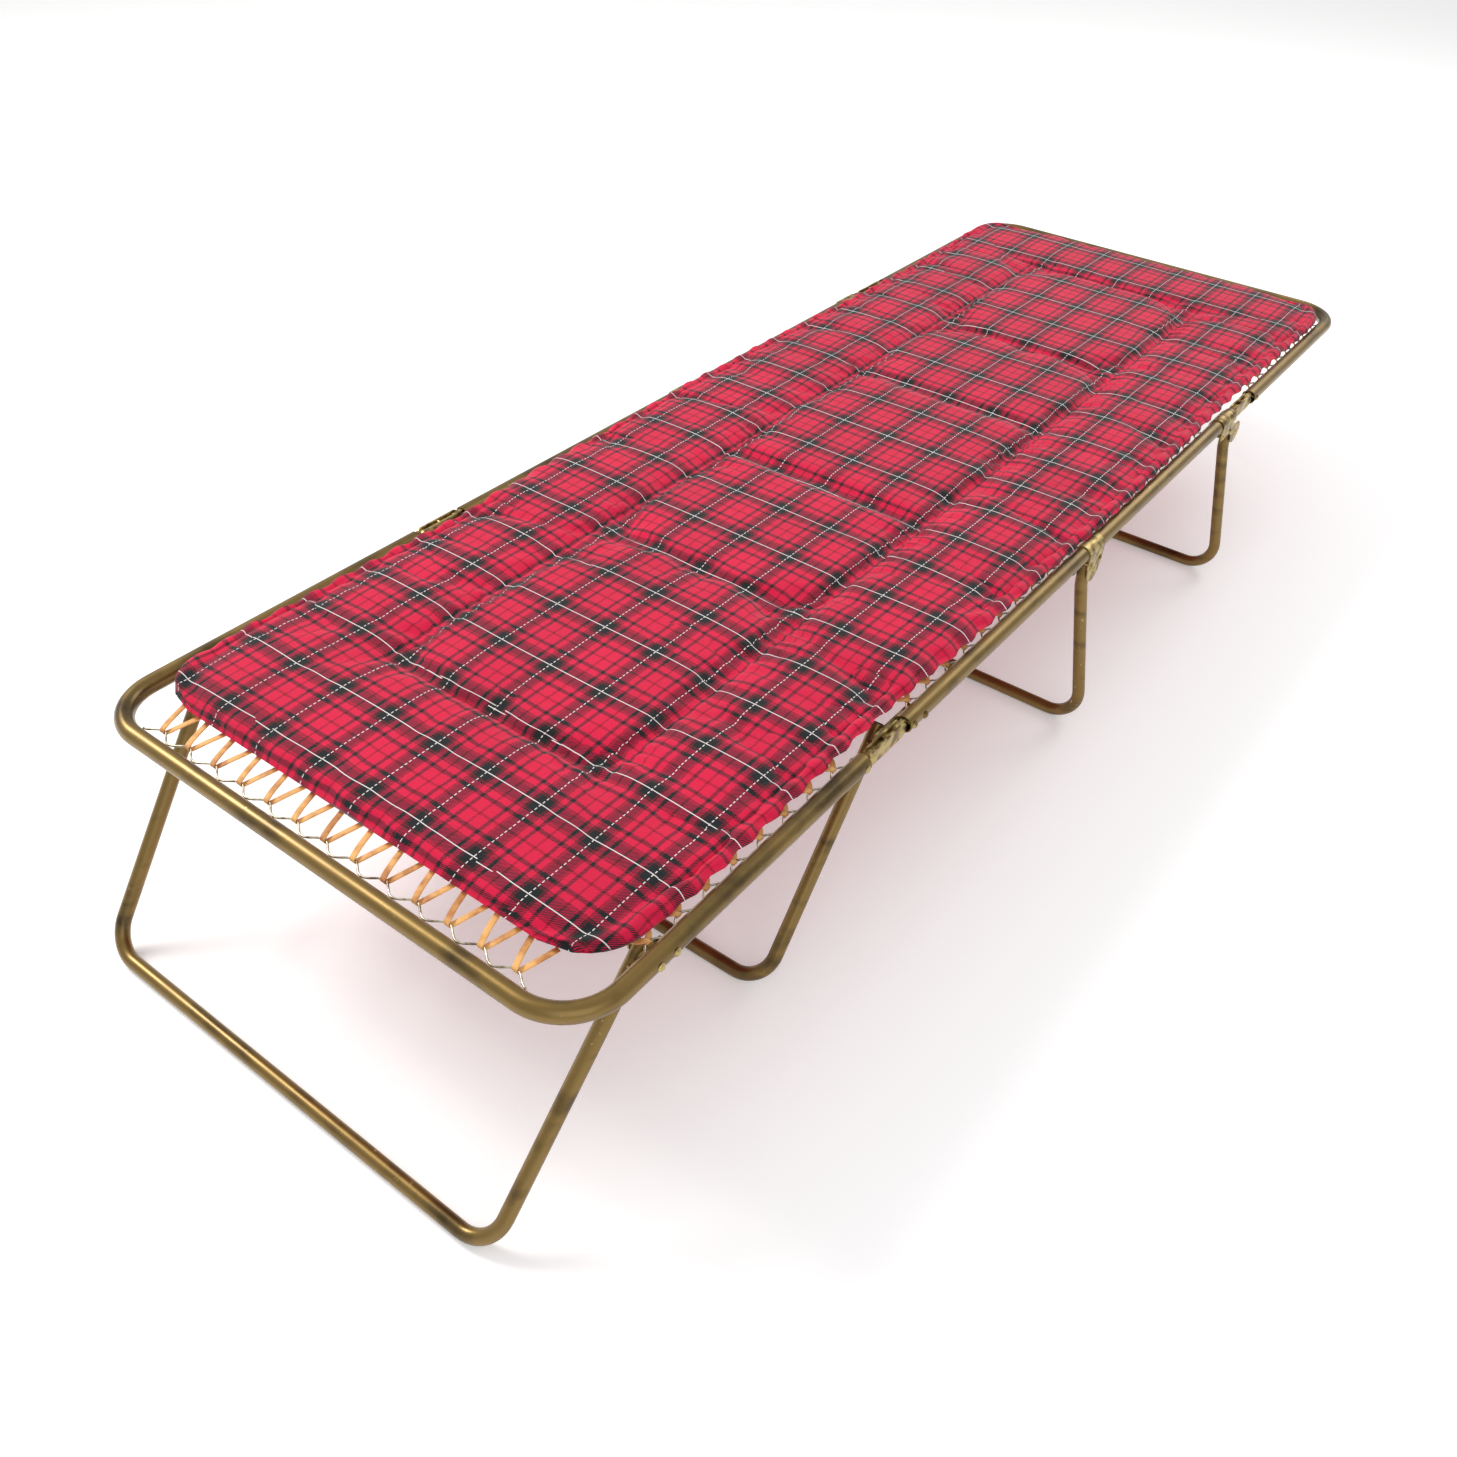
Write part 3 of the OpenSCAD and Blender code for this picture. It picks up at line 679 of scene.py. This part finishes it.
@dataclass
class QuiltedPad:
    """The long quilted pad: two sheets of tartan sewn at the rim and along the seams.

    The pad's box comes from the CAD slabs. Its outline is a rectangle with round
    corners. Seams hold the sheets down and pressure swells them between the seams;
    the cloth is cut a little longer than the seams, so it gathers beside them.
    """

    material: bpy.types.Material
    seam_y: float = 0.150
    foot_seam_in: float = 0.178
    head_seam_in: float = 0.142
    cell: float = 0.0085
    corner: float = 0.066
    edge: float = 0.018
    rim_out: float = 0.002
    head_out: float = 0.018
    side_out: float = 0.009
    widen_from: float = -0.50
    widen_over: float = 0.22
    scallop: float = 0.0022
    scallop_pitch: float = 0.04
    drift: float = 0.0035
    straighten: float = 0.05
    crown: float = 0.0196
    rim_height: float = 0.0070
    well: float = 0.020
    ease: float = 0.006
    ripple_pitch: float = 0.017
    ripple_rise: float = 0.0016
    ripple_shift: float = 0.0012
    ripple_reach: float = 0.022
    groove_width: float = 0.0035
    groove_depth: float = 0.0028
    spare: float = 0.070
    pressure: float = 2.8
    frames: int = 22
    cross_seams: tuple[float, ...] = (-0.33, 0.071, 0.47)
    low: np.ndarray = field(default_factory=lambda: np.zeros(3))
    high: np.ndarray = field(default_factory=lambda: np.zeros(3))

    def measure(self) -> None:
        """Read the pad's box from its CAD slabs."""
        boxes = [np.array(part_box(n)) for n in ("pad_foot", "pad_mid", "pad_head")]
        self.low = np.min([b[0] for b in boxes], axis=0)
        self.high = np.max([b[1] for b in boxes], axis=0)

    def half_width(self, x: np.ndarray) -> np.ndarray:
        """Half the pad's width at a place along it.

        It is the full width, less a quarter circle at each corner, plus a square-law
        widening towards the head, small scallops between the straps and a slow drift.

        Args:
            x: Places along the pad.

        Returns:
            The half width at each.
        """
        full = self.high[1] + self.rim_out
        reach = np.clip(np.minimum(x - self.low[0] + self.rim_out, self.high[0] + self.head_out - x), 0, None)
        full = full + self.side_out * np.clip((x - self.widen_from) / self.widen_over, 0, 1) ** 2
        r = self.corner
        inset = np.where(reach < r, r - np.sqrt(np.clip(r * r - (r - reach) ** 2, 0, None)), 0.0)
        pull = self.scallop * np.cos(2 * math.pi * x / self.scallop_pitch)
        pull = pull + self.drift * np.sin(x * 7.3 + 0.6)
        return full - inset + np.where(reach < r, 0.0, pull * np.clip((reach - r) / self.straighten, 0, 1))

    def seam_pull(self, x: np.ndarray, y: np.ndarray) -> tuple[np.ndarray, np.ndarray]:
        """How near each point is to a seam.

        Args:
            x: Places along the pad.
            y: Places across it.

        Returns:
            Distance to the nearest seam, and distance to the nearest long or end seam.
        """
        start, stop = self.low[0] + self.foot_seam_in, self.high[0] - self.head_seam_in
        inside = (x > start) & (x < stop)
        far_x = np.maximum(np.maximum(start - x, x - stop), 0)
        long_d = np.hypot(np.abs(np.abs(y) - self.seam_y), far_x)
        far_y = np.maximum(np.abs(y) - self.seam_y, 0)
        end_d = np.hypot(np.minimum(np.abs(x - start), np.abs(x - stop)), far_y)
        cross_d = np.min([np.hypot(np.abs(x - s), far_y) for s in self.cross_seams], axis=0)
        cross_d = np.where(inside, cross_d, 1.0)
        sewn = np.minimum(long_d, end_d)
        return np.minimum(sewn, cross_d + 0.002), sewn

    def sheets(self) -> tuple[np.ndarray, np.ndarray, np.ndarray]:
        """Lay out both sheets as one closed shell.

        The height of a sheet is a quarter ellipse over the rim's edge, lowered
        beside the seams by a soft well.

        Returns:
            The points, the faces and the flat coordinates.
        """
        length = self.high[0] - self.low[0] + self.rim_out + self.head_out
        rows = int(length / self.cell) + 1
        columns = int(2 * (self.high[1] + self.side_out) / self.cell) + 1
        u = np.linspace(0, 1, rows)
        x = self.low[0] - self.rim_out + length * (u - 0.006 * np.sin(2 * math.pi * u))
        v = np.linspace(-1, 1, columns)
        v = v + 0.03 * np.sin(math.pi * v)
        xx, vv = np.meshgrid(x, v, indexing="ij")
        yy = vv * self.half_width(xx)
        rim = np.minimum(np.minimum(xx - x[0], x[-1] - xx), self.half_width(xx) - np.abs(yy))
        lift = np.sqrt(np.clip(1 - (1 - np.clip(rim / self.edge, 0, 1)) ** 2, 0, 1))
        near, _ = self.seam_pull(xx, yy)
        well = 1 - np.exp(-((near / self.well) ** 2))
        puff = 0.35 + 0.65 * well
        zero = self.low[2]
        top = zero + self.rim_height + (self.crown - self.rim_height) * lift * puff
        bottom = zero + self.rim_height - (self.rim_height - 0.0008) * lift * (0.4 + 0.6 * well)
        count = rows * columns
        points = np.vstack([np.stack([xx, yy, top], -1).reshape(-1, 3),
                            np.stack([xx, yy, bottom], -1).reshape(-1, 3)])
        faces = grid_faces(rows, columns)
        index = np.arange(count).reshape(rows, columns)
        border = np.zeros((rows, columns), dtype=bool)
        border[[0, -1], :] = True
        border[:, [0, -1]] = True
        twin = np.arange(2 * count)
        twin[count + index[border]] = index[border]
        under = twin[faces + count][:, ::-1]
        flat = np.stack([xx, yy], -1).reshape(-1, 2)
        merged = np.vstack([faces[:, ::-1], under])
        used, renumbered = np.unique(merged, return_inverse=True)
        return points[used], renumbered.reshape(-1, 4), np.vstack([flat, flat])[used]

    def swell(self, piece: bpy.types.Object, held: np.ndarray) -> None:
        """Swell the pad with Blender's cloth, held at its rim and seams, and keep the result.

        Args:
            piece: The pad.
            held: Numbers of the vertices that stay where they are.
        """
        group = piece.vertex_groups.new(name="sewn")
        group.add(held.tolist(), 1.0, "REPLACE")
        cloth = piece.modifiers.new("swell", "CLOTH")
        settings = cloth.settings
        settings.quality = 4
        settings.mass = 0.15
        settings.tension_stiffness = 14
        settings.compression_stiffness = 14
        settings.shear_stiffness = 6
        settings.bending_stiffness = 0.08
        settings.air_damping = 2.0
        settings.vertex_group_mass = "sewn"
        settings.shrink_min = -self.spare
        settings.use_pressure = True
        settings.uniform_pressure_force = self.pressure
        settings.effector_weights.gravity = 0
        cloth.collision_settings.use_collision = False
        cloth.point_cache.frame_start = 1
        cloth.point_cache.frame_end = self.frames
        scene = bpy.context.scene
        for frame_number in range(1, self.frames + 1):
            scene.frame_set(frame_number)
        seen = piece.evaluated_get(bpy.context.evaluated_depsgraph_get()).data
        places = np.empty(len(seen.vertices) * 3)
        seen.vertices.foreach_get("co", places)
        piece.modifiers.remove(cloth)
        piece.vertex_groups.remove(group)
        piece.data.vertices.foreach_set("co", self.settle(places.reshape(-1, 3), piece).ravel())
        piece.data.update()
        scene.frame_set(1)

    def settle(self, places: np.ndarray, piece: bpy.types.Object) -> np.ndarray:
        """Ease the swollen sheets into the room that the frame leaves them.

        Heights above the rim fold over smoothly below the crown, and those below it
        above the pad's underside; sideways moves are eased to a few millimetres.

        Args:
            places: Swollen places.
            piece: The pad as it was laid out.

        Returns:
            The settled places.
        """
        laid = np.empty(len(places) * 3)
        piece.data.vertices.foreach_get("co", laid)
        laid = laid.reshape(-1, 3)
        rim = self.low[2] + self.rim_height
        room_up = self.crown - self.rim_height
        room_down = self.rim_height - 0.0004
        rise = places[:, 2] - rim
        up = room_up * np.tanh(np.clip(rise, 0, None) / room_up * 1.05)
        down = room_down * np.tanh(np.clip(-rise, 0, None) / room_down)
        moved = places[:, :2] - laid[:, :2]
        eased = self.ease * np.tanh(moved / self.ease)
        return np.column_stack([laid[:, :2] + eased, rim + up - down])

    def gather(self, piece: bpy.types.Object) -> None:
        """Add the fine gathers that a sewing machine leaves beside each long seam.

        The ripple is a sine along the seam whose phase wanders and whose size swells and
        sinks. It dies away from the seam as a bell curve, and a narrow bell-shaped groove
        marks the stitches.

        Args:
            piece: The subdivided pad.
        """
        mesh = piece.data
        places = np.empty(len(mesh.vertices) * 3)
        mesh.vertices.foreach_get("co", places)
        places = places.reshape(-1, 3)
        x, y, z = places.T
        _, sewn = self.seam_pull(x, y)
        long_d = np.abs(np.abs(y) - self.seam_y)
        wander = 0.9 * np.sin(x * 31.0 + np.sign(y) * 1.3) + 0.6 * np.sin(x * 13.0 + 2.0)
        ripple = np.sin(2 * math.pi * x / self.ripple_pitch + wander * 2.2)
        swell = 0.5 + 0.5 * np.sin(x * 23.0 + np.sign(y) * 2.1)
        fade = np.exp(-((sewn / self.ripple_reach) ** 2)) * (long_d < 0.06) * np.clip(sewn / 0.004, 0, 1)
        rim = self.low[2] + self.rim_height
        top = np.clip((z - rim) / 0.004, 0, 1)
        z = z + self.ripple_rise * ripple * swell * fade * top
        y = y + self.ripple_shift * ripple * swell * fade * top
        groove = np.exp(-((sewn / self.groove_width) ** 2)) * top
        z = z - self.groove_depth * groove
        mesh.vertices.foreach_set("co", np.column_stack([x, y, z]).ravel())
        mesh.update()

    def build(self) -> bpy.types.Object:
        """Sew, swell and finish the whole pad.

        Returns:
            The pad as one closed piece.
        """
        self.measure()
        points, faces, flat = self.sheets()
        pad = new_piece("pad_whole", points, faces, self.material, uv=flat)
        rim = self.low[2] + self.rim_height
        near, sewn = self.seam_pull(points[:, 0], points[:, 1])
        on_rim = np.abs(points[:, 2] - rim) < 1e-6
        held = np.nonzero(on_rim | (sewn < self.cell * 0.52) | (near < self.cell * 0.45))[0]
        self.swell(pad, held)
        finer = pad.modifiers.new("finer", "SUBSURF")
        finer.levels = 1
        finer.render_levels = 1
        pad = baked(pad)
        self.gather(pad)
        return pad


def baked(piece: bpy.types.Object) -> bpy.types.Object:
    """Replace a piece's mesh by what its modifiers make of it.

    Args:
        piece: The piece.

    Returns:
        The same piece with no modifiers.
    """
    seen = piece.evaluated_get(bpy.context.evaluated_depsgraph_get())
    mesh = bpy.data.meshes.new_from_object(seen)
    piece.modifiers.clear()
    piece.data = mesh
    return piece


@dataclass
class PadSections:
    """The pad cut square across into lengths."""

    material: bpy.types.Material
    middle_cut: float = 0.071
    bend: float = 0.019

    def cut(self, pad: bpy.types.Object, places: list[float], names: list[str]) -> list[bpy.types.Object]:
        """Cut the pad at planes across it, each section closed by flat ends.

        Args:
            pad: The whole pad.
            places: Where the cuts run, along the pad.
            names: The sections' names.

        Returns:
            The sections from the foot to the head.
        """
        bounds = [-10.0, *places, 10.0]
        sections = []
        for name, low, high in zip(names, bounds[:-1], bounds[1:]):
            shape = bmesh.new()
            shape.from_mesh(pad.data)
            for place, ahead in ((low, -1), (high, 1)):
                if abs(place) > 5:
                    continue
                whole = shape.verts[:] + shape.edges[:] + shape.faces[:]
                cut = bmesh.ops.bisect_plane(shape, geom=whole, plane_co=(place, 0, 0),
                                             plane_no=(ahead, 0, 0), clear_outer=True)
                rim = [e for e in cut["geom_cut"] if isinstance(e, bmesh.types.BMEdge)]
                fill = bmesh.ops.triangle_fill(shape, edges=rim, use_beauty=True, normal=(ahead, 0, 0))
                for edge in rim:
                    edge.smooth = False
                for face in fill["geom"]:
                    if isinstance(face, bmesh.types.BMFace):
                        face.smooth = False
            mesh = bpy.data.meshes.new(name)
            shape.to_mesh(mesh)
            shape.free()
            mesh.materials.clear()
            mesh.materials.append(self.material)
            section = bpy.data.objects.new(name, mesh)
            bpy.context.scene.collection.objects.link(section)
            sections.append(section)
            log.info("cut %s: %d faces", name, len(mesh.polygons))
        bpy.data.objects.remove(pad)
        return sections

    def fit(self, frame: dict, pad: bpy.types.Object) -> None:
        """Cut the pad into sections, bake their placements and hide the CAD pad slabs.

        Args:
            pad: The whole pad.
        """
        pivots = {j["name"]: j["pos_m"][0] for j in frame["record"]["behaviour"]["joints"]}
        foot_out, foot_in = pivots["foot_flap_fold"], pivots["foot_link_fold"]
        head_in, head_out = pivots["head_link_fold"], pivots["head_flap_fold"]
        cuts = [(foot_out + foot_in) / 2, self.middle_cut, (head_in + head_out) / 2]
        names = ["pad_quilt_foot", "pad_quilt_middle_foot", "pad_quilt_middle_head", "pad_quilt_head"]
        sections = self.cut(pad, cuts, names)
        joins = [("foot_frame", "foot_link", foot_out), ("foot_link", "mid_frame", foot_in),
                 ("mid_frame", "head_link", head_in), ("head_link", "head_frame", head_out)]
        for section, (before, after, pivot) in zip(sections, joins):
            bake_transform(section)
        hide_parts("pad_foot", "pad_fold_foot")
        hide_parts("pad_mid")
        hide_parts("pad_head", "pad_fold_head")


# ---------------------------------------------------------------- lacing


@dataclass
class Lacing:
    """Rubber straps laced in Vs between the crests of the edge wires and the pad's hem."""

    material: bpy.types.Material
    width: float = 0.0062
    thickness: float = 0.0016
    pitch: float = 0.040
    spread: float = 0.0138
    wire: float = 0.0011
    overrun: float = 0.006
    steps: int = 22

    def vee(self, reach: float) -> tuple[np.ndarray, np.ndarray]:
        """One V of strap round a wire crest at the origin, its arms towards +Y.

        The strap comes in from one side above the wire, rolls round it and leaves
        below. The strap's flat stays square to its path.

        Args:
            reach: Distance from the crest to the hem.

        Returns:
            The points and the faces.
        """
        s, r, far = self.spread, self.wire + self.thickness / 2 + 0.0002, reach + self.overrun
        knots = np.array([[-s, far, 0.0042], [-s * 0.55, reach * 0.5, 0.0030],
                          [-0.0018, 0.001, r + 0.0003], [-0.0004, -r, 0.0], [0.0014, 0.001, -r],
                          [s * 0.55, reach * 0.5, 0.0012], [s, far, 0.0030]])
        path = smooth_path(knots, self.steps)
        t = np.linspace(-1, 1, self.steps)
        lean = -np.sign(t) * np.clip(np.abs(t) * 3 - 0.4, 0, 1) * s / far
        side = np.stack([np.ones_like(t), lean, np.zeros_like(t)], -1)
        return swept(path, side, rounded_strip(self.width, self.thickness))

    def run(self, name: str, node: str, body: str, runs: list[tuple[np.ndarray, np.ndarray, float]]) -> None:
        """Lace one section of the pad.

        Args:
            name: The new piece's name.
            node: The CAD node that it stands for.
            body: The body that it rides on.
            runs: For each row of crests: their places, the direction to the pad and the reach.
        """
        shapes = []
        for crests, inward, reach in runs:
            shape, quads = self.vee(reach)
            along = np.array([inward[1], -inward[0], 0.0])
            turned = shape[:, :1] * along + shape[:, 1:2] * inward + shape[:, 2:] * np.array([0, 0, 1.0])
            every = crests[:, None] + turned[None]
            steps = np.arange(len(crests))[:, None, None] * len(shape)
            shapes.append((every.reshape(-1, 3), (quads[None] + steps).reshape(-1, 4)))
        fitted(name, shapes, self.material, node, body, Finish.STRAP)


@dataclass
class EdgeWire:
    """The wavy spring wire that lies against the tube and carries the straps on its crests."""

    material: bpy.types.Material
    radius: float = 0.0011
    depth: float = 0.010
    samples: int = 18
    sides: int = 8

    def bend(self, name: str, node: str, body: str, rows: list[tuple[np.ndarray, np.ndarray, float]]) -> None:
        """Bend the wires of one section of the frame.

        Between crests the wire's offset from the crest line is depth * (1 - cos) / 2,
        one turn of the cosine to a pitch.

        Args:
            name: The new piece's name.
            node: The CAD node that it stands for.
            body: The body that it rides on.
            rows: For each wire: crest places, the direction to the pad and the reach.
        """
        shapes = []
        a = np.linspace(0, 2 * math.pi, self.sides, endpoint=False)
        section = self.radius * np.stack([np.cos(a), np.sin(a)], -1)
        for crests, inward, _ in rows:
            step = crests[1] - crests[0]
            t = np.linspace(-0.5, len(crests) - 0.5, self.samples * len(crests) + 1)
            back = self.depth * (1 - np.cos(2 * math.pi * t)) / 2
            path = crests[0] + t[:, None] * step - back[:, None] * inward
            upright = np.tile([0.0, 0.0, 1.0], (len(path), 1))
            shapes.append(swept(path, upright, section))
        fitted(name, shapes, self.material, node, body, Finish.WIRE)


@dataclass
class LacedEdges:
    """Finds each row of wire crests from the wire nodes, bends its wire and laces it."""

    wire: EdgeWire
    lacing: Lacing
    wire_half: float = 0.0012
    tuck: float = 0.008
    clear: float = 0.002
    margin: float = 0.02
    node_of: dict[str, str] = field(default_factory=lambda: {
        "edge_wires_mid": "mid_frame", "edge_wires_foot": "foot_frame", "edge_wires_head": "head_frame"})

    def crests(self, node: str) -> list[tuple[np.ndarray, np.ndarray, float]]:
        """Read the crests of every wire in a node.

        A wire's mesh is split into its loose lengths. Each length runs along X or Y,
        starts at a trough and has a crest in the middle of every pitch.

        Args:
            node: A wire node.

        Returns:
            For each wire: crest places, the direction to the pad, and the reach to the hem.
        """
        mesh = bpy.data.objects[node].data
        points = np.empty(len(mesh.vertices) * 3)
        mesh.vertices.foreach_get("co", points)
        points = points.reshape(-1, 3)
        pad_low = np.min([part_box(n)[0] for n in ("pad_foot", "pad_mid", "pad_head")], axis=0)
        pad_high = np.max([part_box(n)[1] for n in ("pad_foot", "pad_mid", "pad_head")], axis=0)
        level = (points[:, 2].min() + points[:, 2].max()) / 2
        pitch = self.lacing.pitch
        rows = []
        outer = np.abs(points[:, 1]) > pad_high[1] + self.clear
        for side in (-1, 1):
            strip = points[outer & (np.sign(points[:, 1]) == side)
                           & (points[:, 0] > pad_low[0] - self.margin)
                           & (points[:, 0] < pad_high[0] + self.margin)]
            for length in self.lengths(strip[:, 0]):
                count = max(int(round((length[1] - length[0]) / pitch)), 1)
                x = length[0] + (np.arange(count) + 0.5) * (length[1] - length[0]) / count
                crest = np.abs(strip[:, 1]).min() + self.wire_half
                places = np.stack([x, np.full(count, side * crest), np.full(count, level)], -1)
                reach = max(crest - pad_high[1], 0.0) + self.tuck
                rows.append((places, np.array([0.0, -side, 0.0]), reach))
        for side, limit in ((-1, pad_low[0]), (1, pad_high[0])):
            strip = points[(points[:, 0] - limit) * side > self.clear]
            if len(strip) == 0 or node == "edge_wires_mid":
                continue
            strip = strip[np.abs(strip[:, 1]) < pad_high[1]]
            low, high = strip[:, 1].min(), strip[:, 1].max()
            count = int(round((high - low) / pitch))
            y = low + (np.arange(count) + 0.5) * (high - low) / count
            crest = np.abs(strip[:, 0]).min() + self.wire_half
            places = np.stack([np.full(count, side * crest), y, np.full(count, level)], -1)
            rows.append((places, np.array([-side, 0.0, 0.0]), crest - abs(limit)))
        return rows

    @staticmethod
    def lengths(x: np.ndarray) -> list[tuple[float, float]]:
        """Split places along a rail into unbroken stretches.

        Args:
            x: Places along the rail.

        Returns:
            Start and end of each stretch.
        """
        ordered = np.sort(x)
        breaks = np.nonzero(np.diff(ordered) > WIRE_BREAK)[0]
        starts = np.concatenate([[0], breaks + 1])
        ends = np.concatenate([breaks, [len(ordered) - 1]])
        return [(ordered[a], ordered[b]) for a, b in zip(starts, ends)]

    def lace(self) -> None:
        """Bend the wires and lace the straps of every section."""
        for node, body in self.node_of.items():
            part = node.rsplit("_", 1)[1]
            rows = self.crests(node)
            self.wire.bend(f"spring_wire_{part}", node, body, rows)
            self.lacing.run(f"strap_lacing_{part}", f"lacing_{part}", body, rows)


# ---------------------------------------------------------------- studio


@dataclass
class Studio:
    """Pale floor, soft light and the camera."""

    azimuth: float = -54.193
    elevation: float = 40.027
    roll: float = 2.277
    place: tuple[float, float, float] = (-1.35021, -0.78853, 1.12748)
    lens: float = 32.81
    floor_half: float = 12.0
    sky: float = 0.62
    lamps: tuple = (
        ("key", (-0.9, 2.6, 2.9), 1.2, 96, (1.0, 0.98, 0.95)),
        ("fill", (-2.4, -2.4, 2.2), 3.0, 30, (0.97, 0.98, 1.0)),
        ("rim", (3.0, -0.6, 2.6), 2.0, 35, (1.0, 1.0, 1.0)))

    def camera(self) -> None:
        """Set the camera: it looks back along a direction given by azimuth and elevation."""
        az, el, ro = (math.radians(a) for a in (self.azimuth, self.elevation, self.roll))
        back = np.array([math.sin(az) * math.cos(el), -math.cos(az) * math.cos(el), math.sin(el)])
        right = np.array([math.cos(az), math.sin(az), 0.0])
        up = np.cross(back, right)
        turned_right = math.cos(ro) * right + math.sin(ro) * up
        turned_up = -math.sin(ro) * right + math.cos(ro) * up
        data = bpy.data.cameras.new("camera")
        data.sensor_width = 36
        data.lens = self.lens
        camera = bpy.data.objects.new("camera", data)
        matrix = np.eye(4)
        matrix[:3, 0], matrix[:3, 1], matrix[:3, 2], matrix[:3, 3] = turned_right, turned_up, back, self.place
        camera.matrix_world = Matrix(matrix.tolist())
        bpy.context.scene.collection.objects.link(camera)
        bpy.context.scene.camera = camera

    def floor(self) -> None:
        """Lay a plain pale floor."""
        size = self.floor_half
        corners = np.array([[-size, -size, 0], [size, -size, 0], [size, size, 0], [-size, size, 0]])
        g = Graph("floor_paint")
        g.shader.inputs["Base Color"].default_value = (0.92, 0.92, 0.92, 1)
        g.shader.inputs["Roughness"].default_value = 0.9
        g.shader.inputs["Emission Color"].default_value = (1, 1, 1, 1)
        g.shader.inputs["Emission Strength"].default_value = 0.22
        new_piece("floor", corners, np.array([[0, 1, 2, 3]]), g.material, smooth=False)

    def light(self, name: str, place: tuple, size: float, watts: float, tint: tuple) -> None:
        """Hang a soft square light that faces the cot.

        Args:
            name: The light's name.
            place: Where it hangs.
            size: Its side length.
            watts: Its power.
            tint: Its colour.
        """
        data = bpy.data.lights.new(name, "AREA")
        data.size = size
        data.energy = watts
        data.color = tint
        lamp = bpy.data.objects.new(name, data)
        back = unit(np.array(place) - np.array([0, 0, 0.2]))
        right = unit(np.cross([0, 0, 1.0], back))
        matrix = np.eye(4)
        matrix[:3, 0], matrix[:3, 1], matrix[:3, 2], matrix[:3, 3] = right, np.cross(back, right), back, place
        lamp.matrix_world = Matrix(matrix.tolist())
        bpy.context.scene.collection.objects.link(lamp)

    def build(self) -> None:
        """Set up the floor, the lights, the sky and the camera."""
        self.floor()
        for name, place, size, watts, tint in self.lamps:
            self.light(name, place, size, watts, tint)
        world = bpy.data.worlds.new("sky")
        world.use_nodes = True
        world.node_tree.nodes["Background"].inputs[0].default_value = (1, 1, 1, 1)
        world.node_tree.nodes["Background"].inputs[1].default_value = self.sky
        bpy.context.scene.world = world
        bpy.context.scene.view_settings.view_transform = "Standard"
        self.camera()


def main() -> None:
    """Build the whole scene."""
    logging.basicConfig(level=logging.INFO, format="%(message)s")
    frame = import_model()
    finishes = {finish.value: finish.make() for finish in Finish}
    Studio().build()
    TubeFrame(finishes).dress(frame)
    pad = QuiltedPad(finishes[Finish.CLOTH.value]).build()
    PadSections(finishes[Finish.CLOTH.value]).fit(frame, pad)
    LacedEdges(EdgeWire(finishes[Finish.WIRE.value]), Lacing(finishes[Finish.STRAP.value])).lace()


if __name__ == "__main__":
    main()
